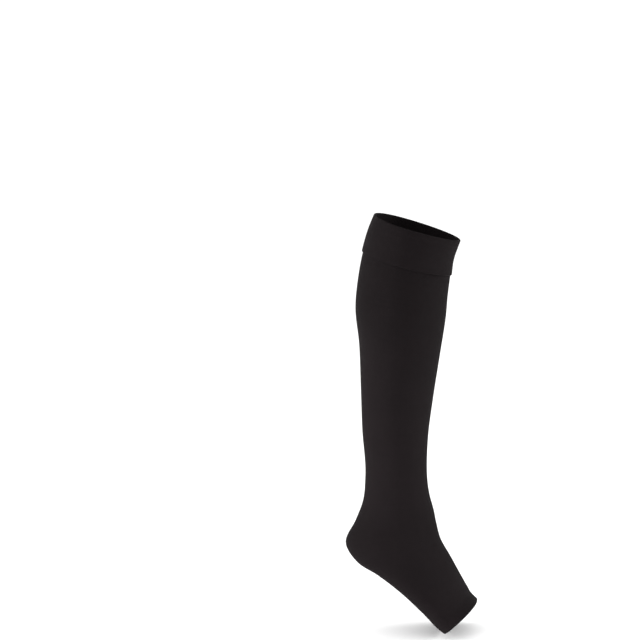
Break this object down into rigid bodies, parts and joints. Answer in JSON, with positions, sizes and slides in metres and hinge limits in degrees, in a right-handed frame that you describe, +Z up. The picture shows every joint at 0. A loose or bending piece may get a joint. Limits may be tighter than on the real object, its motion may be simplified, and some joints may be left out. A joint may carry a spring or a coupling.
{
  "type": "compression stocking",
  "caption": "Knee-high compression stocking with an open toe, hollow and in its worn shape, with a doubled elastic band at the top.",
  "frame": {"origin": "centre of the top opening, inside the top edge of the band, where the calf holds the stocking up", "axes": "+X the way the toes point, +Y to the inner side of the leg, +Z up"},
  "size_m": [0.1616, 0.1088, 0.5107],
  "materials": {
    "leg_knit": "matt opaque fine-gauge circular knit with inlaid elastic, dyed black",
    "top_band": "matt elastic knit folded to two layers, dyed black"
  },
  "bodies": {
    "root": {"leg_knit": "leg_knit", "top_band": "top_band"}
  },
  "joints": []
}
